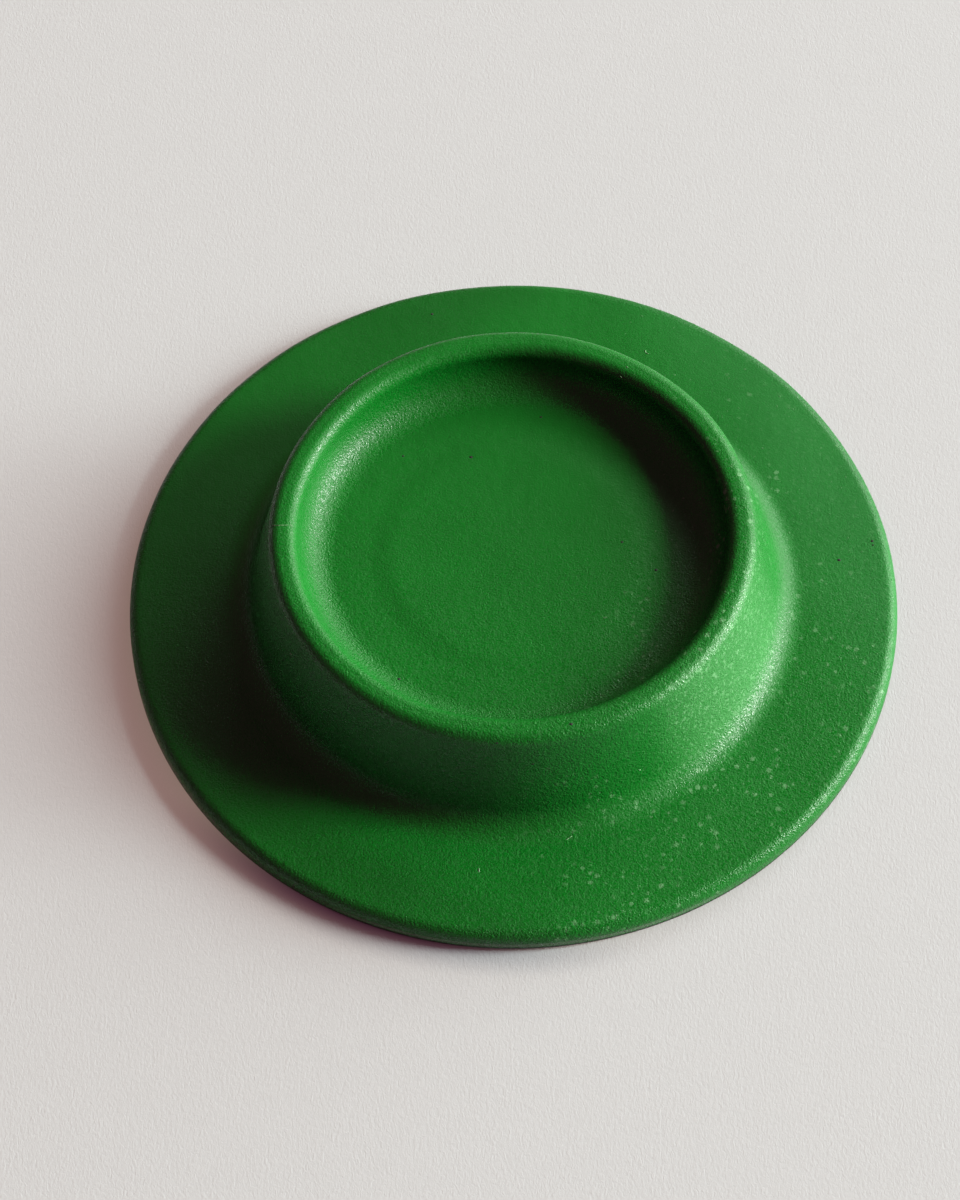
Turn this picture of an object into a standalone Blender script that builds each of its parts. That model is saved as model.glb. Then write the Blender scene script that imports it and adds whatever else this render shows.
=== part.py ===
"""Magnetic soap holder: a soft moulded hat with a round dish, over a disc magnet.

Metres, +Z up.  The origin is the centre of the face that rests on the wall or shelf.
Every piece is round about Z, so each one is a turned profile or a disc.
"""

import math

import bmesh
import bpy

MM = 0.001

# Fit between pieces that touch
CLEARANCE = 0.3 * MM

# Adhesive pad, set into the underside of the brim
PAD_THICKNESS = 0.5 * MM
PAD_PROUD = 0.25 * MM
BRIM_BORDER = 1.5 * MM

# Brim
BRIM_DIAMETER = 80.0 * MM
BRIM_WEB = 1.85 * MM
BRIM_EDGE_ROUNDING = 1.2 * MM

# Rim round the dish
RIM_DIAMETER = 49.8 * MM
RIM_THICKNESS = 3.1 * MM
RIM_OUTER_ROUNDING = 1.3 * MM
RIM_INNER_ROUNDING = 1.25 * MM
RIM_FLARE = math.radians(13.0)
ROOT_FILLET = 3.2 * MM

# Dish inside the rim
DISH_DEPTH = 5.0 * MM
DISH_DRAFT = math.radians(2.0)
DISH_FILLET = 3.5 * MM
DISH_FLOOR = 1.35 * MM
SEAT_DIAMETER = 25.2 * MM
SEAT_BLEND = 1.4 * MM
SEAT_RISE = 0.15 * MM

# Magnet and the steel plate behind it
MAGNET_DIAMETER = 25.0 * MM
MAGNET_THICKNESS = 3.0 * MM
MAGNET_EDGE = 0.3 * MM
KEEPER_THICKNESS = 1.5 * MM
KEEPER_EDGE = 0.2 * MM

# Plug that closes the magnet's socket
PLUG_THICKNESS = 2.6 * MM
PLUG_RIM_THICKNESS = 0.8 * MM
PLUG_RIM_WIDTH = 1.5 * MM
PLUG_LEAD_IN = 0.4 * MM

# Facets round a full turn
BODY_FACETS = 96
DISC_FACETS = 72

# Heights, from the face that rests on the wall upwards
pad_seat_z = PAD_THICKNESS + CLEARANCE
brim_bottom_z = PAD_PROUD
brim_top_z = pad_seat_z + BRIM_WEB
plug_top_z = pad_seat_z + PLUG_THICKNESS
keeper_bottom_z = plug_top_z + CLEARANCE
magnet_bottom_z = keeper_bottom_z + KEEPER_THICKNESS + CLEARANCE
socket_roof_z = magnet_bottom_z + MAGNET_THICKNESS + CLEARANCE
dish_floor_z = socket_roof_z + DISH_FLOOR
rim_top_z = dish_floor_z + DISH_DEPTH

# Radii
brim_radius = BRIM_DIAMETER / 2
pad_seat_radius = brim_radius - BRIM_BORDER
magnet_radius = MAGNET_DIAMETER / 2
socket_radius = magnet_radius + CLEARANCE
plug_rim_radius = socket_radius - CLEARANCE + PLUG_RIM_WIDTH
plug_seat_radius = plug_rim_radius + CLEARANCE


def arc(centre, radius, start, end, steps):
    """Points of a circular arc in the (radius, height) plane, both ends included."""
    points = []
    for step in range(steps + 1):
        angle = start + (end - start) * step / steps
        points.append((centre[0] + radius * math.cos(angle), centre[1] + radius * math.sin(angle)))
    return points


def body_profile():
    """The body's closed section: up from the dish, over the rim, out along the brim, and back below."""
    outer_centre = (RIM_DIAMETER / 2 - RIM_OUTER_ROUNDING, rim_top_z - RIM_OUTER_ROUNDING)
    inner_centre = (RIM_DIAMETER / 2 - RIM_THICKNESS + RIM_INNER_ROUNDING, rim_top_z - RIM_INNER_ROUNDING)

    # The dish's wall leaves the rim's inner rounding at the draft angle.
    # Its fillet rolls between that wall and the floor, and leaves a short stretch of the wall.
    dish_fillet = min(DISH_FILLET, 0.95 * (DISH_DEPTH - RIM_INNER_ROUNDING))
    wall_r = inner_centre[0] - RIM_INNER_ROUNDING * math.cos(DISH_DRAFT)
    wall_z = inner_centre[1] + RIM_INNER_ROUNDING * math.sin(DISH_DRAFT)
    fillet_z = dish_floor_z + dish_fillet
    along = (fillet_z - wall_z - dish_fillet * math.sin(DISH_DRAFT)) / math.cos(DISH_DRAFT)
    fillet_r = wall_r + along * math.sin(DISH_DRAFT) - dish_fillet * math.cos(DISH_DRAFT)

    # The outer wall leaves the rim's outer rounding at the flare angle and meets the brim in a fillet.
    flare_r = outer_centre[0] + RIM_OUTER_ROUNDING * math.cos(RIM_FLARE)
    flare_z = outer_centre[1] + RIM_OUTER_ROUNDING * math.sin(RIM_FLARE)
    root_z = brim_top_z + ROOT_FILLET
    down = (flare_z + ROOT_FILLET * math.sin(RIM_FLARE) - root_z) / math.cos(RIM_FLARE)
    root_r = flare_r + down * math.sin(RIM_FLARE) + ROOT_FILLET * math.cos(RIM_FLARE)

    # The edge's rounding leaves a short upright face below it.
    edge_rounding = min(BRIM_EDGE_ROUNDING, 0.8 * (brim_top_z - brim_bottom_z))

    quarter = math.pi / 2
    points = [(0.0, dish_floor_z + SEAT_RISE)]
    points.append((SEAT_DIAMETER / 2, dish_floor_z + SEAT_RISE))
    points.append((SEAT_DIAMETER / 2 + SEAT_BLEND, dish_floor_z))
    points += arc((fillet_r, fillet_z), dish_fillet, -quarter, -DISH_DRAFT, 7)
    points += arc(inner_centre, RIM_INNER_ROUNDING, math.pi - DISH_DRAFT, quarter, 5)
    points += arc(outer_centre, RIM_OUTER_ROUNDING, quarter, RIM_FLARE, 5)
    points += arc((root_r, root_z), ROOT_FILLET, math.pi + RIM_FLARE, 3 * quarter, 6)
    points += arc((brim_radius - edge_rounding, brim_top_z - edge_rounding), edge_rounding, quarter, 0.0, 4)
    points.append((brim_radius, brim_bottom_z))
    points.append((pad_seat_radius, brim_bottom_z))
    points.append((pad_seat_radius, pad_seat_z))
    points.append((plug_seat_radius, pad_seat_z))
    points.append((plug_seat_radius, pad_seat_z + PLUG_RIM_THICKNESS + CLEARANCE))
    points.append((socket_radius, pad_seat_z + PLUG_RIM_THICKNESS + CLEARANCE))
    points.append((socket_radius, socket_roof_z))
    points.append((0.0, socket_roof_z))
    return points


def plug_profile():
    """The plug's section: a spigot with a lead-in, on a wider rim."""
    spigot_radius = socket_radius - CLEARANCE
    rim_top = pad_seat_z + PLUG_RIM_THICKNESS
    return [
        (0.0, plug_top_z),
        (spigot_radius - PLUG_LEAD_IN, plug_top_z),
        (spigot_radius, plug_top_z - PLUG_LEAD_IN),
        (spigot_radius, rim_top),
        (plug_rim_radius, rim_top),
        (plug_rim_radius, pad_seat_z),
        (0.0, pad_seat_z),
    ]


def make_material(name, color, roughness, metallic=0.0):
    """A Principled material with one colour, roughness and metallic value."""
    material = bpy.data.materials.new(name)
    material.use_nodes = True
    shader = material.node_tree.nodes["Principled BSDF"]
    shader.inputs["Base Color"].default_value = (*color, 1.0)
    shader.inputs["Roughness"].default_value = roughness
    shader.inputs["Metallic"].default_value = metallic
    return material


def shade_round(mesh, sharp_angle=math.radians(35.0)):
    """Smooth shading that keeps the real edges sharp."""
    mesh.shade_smooth()
    mesh.set_sharp_from_angle(angle=sharp_angle)


def add_turned(name, profile, facets, material, collection):
    """A solid of revolution about Z, from a section given as (radius, height) points."""
    mesh = bpy.data.meshes.new(name)
    points = [(radius, 0.0, height) for radius, height in profile]
    edges = [(index, index + 1) for index in range(len(points) - 1)]
    mesh.from_pydata(points, edges, [])
    mesh.materials.append(material)
    piece = bpy.data.objects.new(name, mesh)
    collection.objects.link(piece)
    screw = piece.modifiers.new("Turn", "SCREW")
    screw.axis = "Z"
    screw.angle = 2 * math.pi
    screw.steps = facets
    screw.render_steps = facets
    screw.use_smooth_shade = True
    screw.use_merge_vertices = True
    screw.merge_threshold = 0.00001
    return piece


def add_disc(name, radius, bottom_z, thickness, edge, material, collection):
    """A flat round disc with its edges broken by a small bevel; edge 0 leaves them square."""
    mesh = bpy.data.meshes.new(name)
    shape = bmesh.new()
    bmesh.ops.create_cone(
        shape, cap_ends=True, segments=DISC_FACETS, radius1=radius, radius2=radius, depth=thickness
    )
    shape.to_mesh(mesh)
    shape.free()
    mesh.materials.append(material)
    shade_round(mesh)
    piece = bpy.data.objects.new(name, mesh)
    piece.location = (0.0, 0.0, bottom_z + thickness / 2)
    collection.objects.link(piece)
    if edge > 0:
        bevel = piece.modifiers.new("Broken edge", "BEVEL")
        bevel.width = edge
        bevel.segments = 2
        bevel.limit_method = "ANGLE"
        bevel.angle_limit = math.radians(40.0)
    return piece


def clear_scene():
    """Remove every object that the scene starts with."""
    for item in list(bpy.data.objects):
        bpy.data.objects.remove(item, do_unlink=True)


def main():
    clear_scene()
    holder = bpy.data.collections.new("magnetic_soap_holder")
    bpy.context.scene.collection.children.link(holder)

    green_rubber = make_material("green_rubber", (0.013, 0.173, 0.021), 0.55)
    nickel_plate = make_material("nickel_plate", (0.66, 0.64, 0.60), 0.22, 1.0)
    zinc_plate = make_material("zinc_plate", (0.55, 0.56, 0.58), 0.38, 1.0)
    dark_plastic = make_material("dark_plastic", (0.03, 0.03, 0.03), 0.50)
    foam_tape = make_material("foam_tape", (0.05, 0.05, 0.05), 0.85)

    add_turned("holder_body", body_profile(), BODY_FACETS, green_rubber, holder)
    add_turned("socket_plug", plug_profile(), DISC_FACETS, dark_plastic, holder)
    add_disc(
        "disc_magnet", magnet_radius, magnet_bottom_z, MAGNET_THICKNESS, MAGNET_EDGE, nickel_plate, holder
    )
    add_disc(
        "keeper_disc", magnet_radius, keeper_bottom_z, KEEPER_THICKNESS, KEEPER_EDGE, zinc_plate, holder
    )
    add_disc("adhesive_pad", pad_seat_radius - CLEARANCE, 0.0, PAD_THICKNESS, 0.0, foam_tape, holder)


main()
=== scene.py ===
"""Magnetic soap holder: the surfaces and finishes that are seen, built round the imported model.

Metres, +Z up.  The origin is the centre of the face that rests on the wall or shelf.
Every piece is round about Z, so nearly every surface is a section carried round a circle.
Azimuths run from +X towards +Y.  Colours are red, green and blue as linear light.
"""

import math
from types import SimpleNamespace

import bpy
import numpy as np
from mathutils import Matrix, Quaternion, Vector
from mathutils.bvhtree import BVHTree

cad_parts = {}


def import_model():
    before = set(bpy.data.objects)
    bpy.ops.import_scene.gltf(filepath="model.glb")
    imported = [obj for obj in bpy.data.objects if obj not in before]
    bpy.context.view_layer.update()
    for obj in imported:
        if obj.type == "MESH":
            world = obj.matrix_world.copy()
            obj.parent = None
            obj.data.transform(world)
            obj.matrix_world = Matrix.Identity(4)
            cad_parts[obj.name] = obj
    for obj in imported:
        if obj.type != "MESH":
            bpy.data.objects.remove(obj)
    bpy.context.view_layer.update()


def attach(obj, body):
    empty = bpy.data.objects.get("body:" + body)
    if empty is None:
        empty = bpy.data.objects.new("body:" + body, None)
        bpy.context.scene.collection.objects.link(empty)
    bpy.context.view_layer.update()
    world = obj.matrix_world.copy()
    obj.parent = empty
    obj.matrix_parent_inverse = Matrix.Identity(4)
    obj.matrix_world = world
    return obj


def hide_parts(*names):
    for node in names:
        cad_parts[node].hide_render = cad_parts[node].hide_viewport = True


MM = 0.001
TURN = 2 * math.pi
QUARTER = math.pi / 2

# Sizes of the moulded body, as in the solid
BRIM_RADIUS = 40.0 * MM
BRIM_BOTTOM = 0.25 * MM
BRIM_THICKNESS = 2.4 * MM
BRIM_TOP = BRIM_BOTTOM + BRIM_THICKNESS
BRIM_ROUNDING = 1.2 * MM
BRIM_FOOT_ROUNDING = 0.15 * MM
RIM_RADIUS = 24.9 * MM
RIM_THICKNESS = 3.1 * MM
RIM_OUTER_ROUNDING = 1.3 * MM
RIM_INNER_ROUNDING = 1.25 * MM
RIM_TOP = 15.15 * MM
RIM_FLARE = math.radians(13.0)
ROOT_FILLET = 3.2 * MM
DISH_DEPTH = 5.0 * MM
DISH_FLOOR = RIM_TOP - DISH_DEPTH
DISH_DRAFT = math.radians(2.0)
DISH_FILLET = 3.5 * MM
SEAT_RISE = 0.15 * MM
SEAT_BLEND = (11.8 * MM, 14.9 * MM)
SEAT_TILT = 0.06 * MM
SEAT_HIGH_SIDE = math.radians(200.0)
PAD_SEAT = 0.8 * MM
PAD_SEAT_RADIUS = 38.5 * MM
PLUG_SEAT = 1.9 * MM
PLUG_SEAT_RADIUS = 14.3 * MM
SOCKET_RADIUS = 12.8 * MM
SOCKET_ROOF = 8.8 * MM

# Sizes of the pieces behind the dish, each with a clearance from what it sits in and under
CLEARANCE = 0.3 * MM
MAGNET_THICKNESS = 3.0 * MM
MAGNET_EDGE = 0.3 * MM
MAGNET_RADIUS = SOCKET_RADIUS - CLEARANCE
MAGNET_TOP = SOCKET_ROOF - CLEARANCE
MAGNET_HEIGHTS = (MAGNET_TOP - MAGNET_THICKNESS, MAGNET_TOP)
KEEPER_THICKNESS = 1.5 * MM
KEEPER_EDGE = 0.2 * MM
KEEPER_TOP = MAGNET_HEIGHTS[0] - CLEARANCE
KEEPER_HEIGHTS = (KEEPER_TOP - KEEPER_THICKNESS, KEEPER_TOP)
PLUG_LEAD_IN = 0.4 * MM
PLUG_EDGE = 0.15 * MM
PLUG_RADII = (SOCKET_RADIUS - CLEARANCE, PLUG_SEAT_RADIUS - CLEARANCE)
PLUG_HEIGHTS = (PAD_SEAT, PLUG_SEAT - CLEARANCE, KEEPER_HEIGHTS[0] - CLEARANCE)
PAD_EDGE = 0.12 * MM
PAD_RADIUS = PAD_SEAT_RADIUS - CLEARANCE
PAD_HEIGHTS = (0.0, PAD_SEAT - CLEARANCE)

# Facets round a full turn, and the angle above which an edge is sharp
BODY_COLUMNS = 540
DISC_COLUMNS = 180
DOME_COLUMNS = 8
SHARP_ANGLE = math.radians(50.0)

# Unevenness of the moulding, calm near the axis and faded over rings counted back from the brim's foot
SAG = 0.030 * MM
SAG_LENGTHS = (9.0 * MM, 24.0 * MM)
SAG_WAVES = 24
PEEL = 0.004 * MM
PEEL_LENGTHS = (1.1 * MM, 2.6 * MM)
PEEL_WAVES = 60
CALM_RADIUS = 2.0 * MM
FADE_RINGS = (12, 2)

# Domes of the small marks: shares of the width at each ring, and the share of the height below the skin
DOME_SHARES = (0.4, 0.75, 1.0)
DOME_SINK = 0.25

# Pale flecks of bloom on the side that the light comes from, with widths as shares of their lengths
FLECK_COUNT = 420
FLECK_SEED = 11
FLECK_LENGTHS = (0.11 * MM, 0.36 * MM)
FLECK_WIDTHS = (0.4, 1.0)
FLECK_HEIGHTS = (0.015 * MM, 0.03 * MM)
FLECK_START = 4.0 * MM
FLECK_SPREAD = 26.0 * MM

# Dark specks in the photograph, as (column, row, length) in its pixels
DARK_SPECKS_PX = (
    (432, 314, 3.5),
    (471, 457, 4.5),
    (403, 456, 3.0),
    (541, 417, 3.5),
    (622, 542, 3.5),
    (656, 570, 4.0),
    (839, 560, 4.5),
    (872, 541, 4.0),
    (873, 545, 2.5),
    (399, 679, 4.0),
    (497, 743, 3.0),
    (533, 764, 3.5),
    (571, 724, 4.5),
)

# Shape of the dark specks, as shares of their length
SPECK_WIDTH = 0.8
SPECK_HEIGHT = 0.15

# Pale scratches and crumbs in the photograph, as their points in its pixels
PALE_LINES_PX = (
    ((272, 525.5), (276, 525.4), (280, 525.3), (284, 525.2), (288, 525.1), (292, 525.5)),
    ((645, 350), (646, 353), (649, 354)),
    ((626, 366), (628, 368)),
    ((620, 376), (622, 378)),
    ((566, 840), (569, 838), (572, 836)),
    ((479, 868), (479, 872)),
    ((603, 618), (607, 617)),
    ((290, 653), (292, 655)),
    ((639, 770), (641, 770)),
)
PALE_LINE_WIDTH = 0.13 * MM
PALE_LINE_HEIGHT = 0.078 * MM
PALE_LINE_OVERLAP = 1.3

# The camera that took the photograph, 960 by 1200 pixels
PHOTO_PX = (960.0, 1200.0)
PRINCIPAL_PX = (513.3, 592.2)
FOCAL_PX = 3698.7
CAMERA_ELEVATION = math.radians(58.54)
CAMERA_DISTANCE = 385.0 * MM
CAMERA_ROLL = math.radians(-0.55)
SENSOR_HEIGHT = 36.0

# Colours of the rubber: its own green, painted shade, painted light, bloom with a painted sheen, spots, a
# painted reflection, and painted shade at the brim's foot
FRESH_GREEN = (0.001, 0.177, 0.0105)
# Painted shade on darker stretches of the brim and its edge
PAINTED_SHADE_GREEN = (0.0, 0.01, 0.0)
# Painted light: the brim paler towards the side the light comes from
PAINTED_LIGHT_GREEN = (0.06, 0.36, 0.09)
# Bloom, and a painted sheen on the wall that faces the light
BLOOM_AND_SHEEN_GREEN = (0.10, 0.36, 0.11)
SPOT_GREEN = (0.17, 0.45, 0.18)
# Painted reflection of the paper, low on the brim's edge at the front
PAINTED_REFLECTION_GREEN = (0.13, 0.28, 0.13)
# Painted shade at the brim's foot, where it meets the paper
PAINTED_FOOT_SHADE = (0.008, 0.016, 0.006)

# What takes the place of a face's colour for light that it would pass on
BLACK = (0.0, 0.0, 0.0)

# Heights on the body where a finish starts and where it is whole
# The foot band carries the painted shade at the brim's foot
BRIM_FOOT_BAND = (BRIM_BOTTOM + 0.49 * MM, BRIM_BOTTOM + 0.25 * MM)
# Low and high bands of the painted reflection on the brim's edge
REFLECTION_LOW_BAND = (BRIM_BOTTOM + 0.45 * MM, BRIM_BOTTOM + 0.60 * MM)
REFLECTION_HIGH_BAND = (BRIM_BOTTOM + 1.15 * MM, BRIM_BOTTOM + 0.95 * MM)
BRIM_BAND = (BRIM_TOP + 0.55 * MM, BRIM_TOP + 0.15 * MM)
ABOVE_BRIM_BAND = (BRIM_TOP + 0.05 * MM, BRIM_TOP + 2.35 * MM)
BELOW_TOP_BAND = (RIM_TOP - 0.05 * MM, RIM_TOP - 0.35 * MM)
BELOW_LIP_BAND = (RIM_TOP - 0.01 * MM, RIM_TOP - 0.20 * MM)

# Radii where a finish starts and where it is whole
BESIDE_FLOOR_BAND = (RIM_RADIUS - 7.3 * MM, RIM_RADIUS - 5.9 * MM)
OUT_OF_DISH_BAND = (RIM_RADIUS - 4.9 * MM, RIM_RADIUS + 1.1 * MM)
OUTER_WALL_BAND = (RIM_RADIUS - 2.4 * MM, RIM_RADIUS - 0.9 * MM)
BRIM_EDGE_BAND = (BRIM_RADIUS - 1.4 * MM, BRIM_RADIUS - 0.6 * MM)
BESIDE_BRIM_BAND = (BRIM_RADIUS - 0.5 * MM, BRIM_RADIUS + 3.5 * MM)

# Sides of the object: azimuth in degrees, how far out that way a finish starts and is whole, its share
BLOOM_SIDE = (-20.0, 6.0 * MM, 24.0 * MM, 0.6)
# Side where the brim is paler: painted light
PAINTED_LIGHT_SIDE = (25.0, 22.0 * MM, 37.0 * MM, 0.24)
# Sides where the brim and its edge are darker: painted shade
PAINTED_SHADE_BACK_LEFT = (130.0, 22.0 * MM, 35.0 * MM, 0.27)
PAINTED_SHADE_FRONT_LEFT = (243.0, 31.0 * MM, 36.0 * MM, 0.22)
PAINTED_SHADE_BACK_RIGHT = (42.0, 28.0 * MM, 38.5 * MM, 0.32)
# Side of the painted reflection on the brim's edge
PAINTED_REFLECTION_SIDE = (272.0, 33.0 * MM, 38.0 * MM, 0.8)
SHADOW_SIDE = (250.0, 32.0 * MM, 40.0 * MM, 1.0)

# Bloom and a painted sheen: the wall that faces the light, with a pale painted sheen and specks there, specks
# elsewhere, and spots in patches
LIT_AZIMUTH = -30.0
LIT_COSINES = (0.86, 1.0)
# Specks and an even pale wash on the wall that faces the light; the wash is painted sheen
WALL_SPECKS_AND_SHEEN = (1.6, 0.38)
FINE_SPECKS = 0.4
SPOT_STRENGTH = 2.6
PATCH_DRIFTS = (0.44, 0.56)
PATCH_SHARES = (0.12, 1.0)

# Grain of the rubber, with its depths from the back to the front on flat and on steep faces
FINE_GRAIN = 0.18 * MM
COARSE_GRAIN = 0.42 * MM
COARSE_SHARE = 0.70
GRAIN_DEPTH = 0.042 * MM
BACK_TO_FRONT = (24.0 * MM, -20.0 * MM)
FLAT_DEPTHS = (0.34, 1.05)
STEEP_DEPTHS = (1.0, 1.7)
TOP_STEEPNESS = 0.5
GRAIN_IN_DISH = 0.92
PIT_TO_TOP = (0.08, 0.50)
ROUGHNESS = 0.41
ROUGHNESS_SWING = (0.20, -0.21)

# Foam's open pores: how wide they are in grains, and how dark
PORE_GRAINS = 3.0
PORE_SHADE = 0.35

# The sheet of paper, its fibres, its glow, which is painted light, and the painted shadow that cuts the glow
# close to the brim
PAPER_HALF = 4.0
PAPER_DROP = 0.05 * MM
PAPER_WHITE = (0.455, 0.554, 0.547)
FIBRE_WHITE = (0.52, 0.61, 0.60)
FIBRE_SIZES = (0.25 * MM, 0.50 * MM)
FIBRE_NOISES = (0.35, 0.75)
FIBRE_SHARE = 0.30
FIBRE_DEPTH = 0.034 * MM
LIGHT_HELD_BACK = 0.45
# The glow is painted light; the part cut beside the brim is painted shadow
GLOW_COLOR = (1.0, 0.775, 0.57)
GLOW = 0.196
PAINTED_SHADOW_DEPTH = 0.19

# Lamps as (name, azimuth, elevation, (width, height), power), in degrees, metres and watts, and the room
LAMPS = (
    ("window", 2.5, 20.0, (0.74, 2.07), 161.0),
    ("wide window", 37.5, 20.0, (2.94, 2.07), 66.0),
    ("first strip", 9.0, 34.5, (2.18, 0.47), 11.0),
    ("second strip", 56.0, 34.5, (2.18, 0.47), 11.0),
)
LAMP_DISTANCE = 3.0
LAMP_WHITE = (1.0, 1.0, 0.99)
ROOM_ROSE = (1.0, 0.19, 0.48)
ROOM_STRENGTH = 0.17

# Layout of the nodes in a shader's window
NODES_IN_ROW = 8
NODE_STEP = (220.0, -260.0)


# Camera


def camera_offset():
    """Unit vector from the brim's centre towards the camera."""
    return Vector((0.0, -math.cos(CAMERA_ELEVATION), math.sin(CAMERA_ELEVATION)))


def camera_place():
    """Where the camera stands."""
    return Vector((0.0, 0.0, BRIM_TOP)) + camera_offset() * CAMERA_DISTANCE


def camera_turn():
    """The camera's rotation: it looks at the brim's centre, rolled about its own axis."""
    return (-camera_offset()).to_track_quat("-Z", "Y") @ Quaternion((0.0, 0.0, 1.0), CAMERA_ROLL)


def sight_line(pixel):
    """Direction through a pixel: ((u - u0) / f, (v0 - v) / f, -1), turned with the camera."""
    across = (pixel[0] - PRINCIPAL_PX[0]) / FOCAL_PX
    up = (PRINCIPAL_PX[1] - pixel[1]) / FOCAL_PX
    return (camera_turn() @ Vector((across, up, -1.0))).normalized()


def add_camera():
    """The camera, with its shift moving the optical axis to the photograph's principal point."""
    data = bpy.data.cameras.new("camera")
    data.sensor_fit = "VERTICAL"
    data.sensor_height = SENSOR_HEIGHT
    data.lens = FOCAL_PX / PHOTO_PX[1] * SENSOR_HEIGHT
    data.shift_x = (PHOTO_PX[0] / 2 - PRINCIPAL_PX[0]) / PHOTO_PX[1]
    data.shift_y = (PRINCIPAL_PX[1] - PHOTO_PX[1] / 2) / PHOTO_PX[1]
    data.clip_start = 10.0 * MM
    camera = bpy.data.objects.new("camera", data)
    camera.location = camera_place()
    camera.rotation_mode = "QUATERNION"
    camera.rotation_quaternion = camera_turn()
    bpy.context.scene.collection.objects.link(camera)
    bpy.context.scene.camera = camera


# Curves in the (radius, height) plane, and surfaces turned from them


def straight(start, end, count):
    """count points start + t (end - start), with t from 0 up to but not including 1."""
    t = np.linspace(0.0, 1.0, count, endpoint=False)[:, None]
    return np.asarray(start) + t * (np.asarray(end) - np.asarray(start))


def arc(centre, radius, start, end, count):
    """count points centre + radius (cos a, sin a), with a from start up to but not including end."""
    angle = np.linspace(start, end, count, endpoint=False)[:, None]
    return np.asarray(centre) + radius * np.hstack([np.cos(angle), np.sin(angle)])


def on_circle(centre, radius, angle):
    """The point centre + radius (cos a, sin a)."""
    return centre[0] + radius * math.cos(angle), centre[1] + radius * math.sin(angle)


def soft_step(t):
    """The cubic t t (3 - 2 t), held at 0 below t = 0 and at 1 above t = 1."""
    t = np.clip(t, 0.0, 1.0)
    return t * t * (3.0 - 2.0 * t)


def section_normals(section):
    """Outward normals in the section's plane: the tangent (dr, dz) turned to (-dz, dr)."""
    tangent = np.gradient(section, axis=0)
    normal = np.stack([-tangent[:, 1], tangent[:, 0]], axis=-1)
    return normal / np.linalg.norm(normal, axis=-1, keepdims=True)


def turned(section, angles):
    """Section points (r, z) carried round Z: (r cos a, r sin a, z) for each angle a."""
    radius, height = section[:, 0, None], section[:, 1, None]
    return np.stack(
        [radius * np.cos(angles), radius * np.sin(angles), height * np.ones_like(angles)], axis=-1
    )


def waves(points, lengths, count, seed):
    """Sum of plane waves sin(2 pi d . p / L + phase) in random directions d, scaled to a spread of 1.

    L is drawn between the two lengths, so the sum is an unevenness of about that size.
    """
    draws = np.random.default_rng(seed)
    directions = draws.normal(size=(count, 3))
    directions /= np.linalg.norm(directions, axis=-1, keepdims=True)
    wavelengths = draws.uniform(lengths[0], lengths[1], count)
    phases = draws.uniform(0.0, TURN, count)
    total = np.zeros(points.shape[:-1])
    for direction, wavelength, phase in zip(directions, wavelengths, phases):
        total += np.sin(points @ (TURN / wavelength * direction) + phase)
    return total / math.sqrt(count / 2)


def closed_faces(rings, columns):
    """Quads between whole rings of points, and fans of triangles from a point at either end.

    Point 0 is the first end, ring i holds the points from 1 + i columns on, and the last point is the other
    end.
    """
    place = np.arange(columns)
    after = (place + 1) % columns
    first = 1 + np.arange(rings - 1)[:, None] * columns
    second = first + columns
    quads = np.stack([first + place, second + place, second + after, first + after], axis=-1)
    last_ring = 1 + (rings - 1) * columns
    last_point = last_ring + columns
    top = np.stack([np.zeros_like(place), 1 + place, 1 + after], axis=-1)
    bottom = np.stack([last_ring + place, np.full_like(place, last_point), last_ring + after], axis=-1)
    return quads.reshape(-1, 4), np.concatenate([top, bottom])


def new_mesh(name, points, quads, triangles, material):
    """A piece from whole arrays of points, quads and triangles, smooth but for its real edges."""
    mesh = bpy.data.meshes.new(name)
    corners = np.concatenate([quads.ravel(), triangles.ravel()])
    quad_starts = np.arange(len(quads)) * 4
    triangle_starts = len(quads) * 4 + np.arange(len(triangles)) * 3
    starts = np.concatenate([quad_starts, triangle_starts])
    mesh.vertices.add(len(points))
    mesh.vertices.foreach_set("co", points.astype(np.float32).ravel())
    mesh.loops.add(len(corners))
    mesh.loops.foreach_set("vertex_index", corners.astype(np.int32))
    mesh.polygons.add(len(starts))
    mesh.polygons.foreach_set("loop_start", starts.astype(np.int32))
    mesh.update(calc_edges=True)
    mesh.validate()
    mesh.shade_smooth()
    mesh.set_sharp_from_angle(angle=SHARP_ANGLE)
    mesh.materials.append(material)
    piece = bpy.data.objects.new(name, mesh)
    bpy.context.scene.collection.objects.link(piece)
    return piece


def new_turned_piece(name, grid, material):
    """A closed piece from a grid of rings whose first and last rings are single points on the axis."""
    points = np.concatenate([grid[:1, 0], grid[1:-1].reshape(-1, 3), grid[-1:, 0]])
    quads, triangles = closed_faces(len(grid) - 2, grid.shape[1])
    return new_mesh(name, points, quads, triangles, material)


# Moulded body


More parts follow.
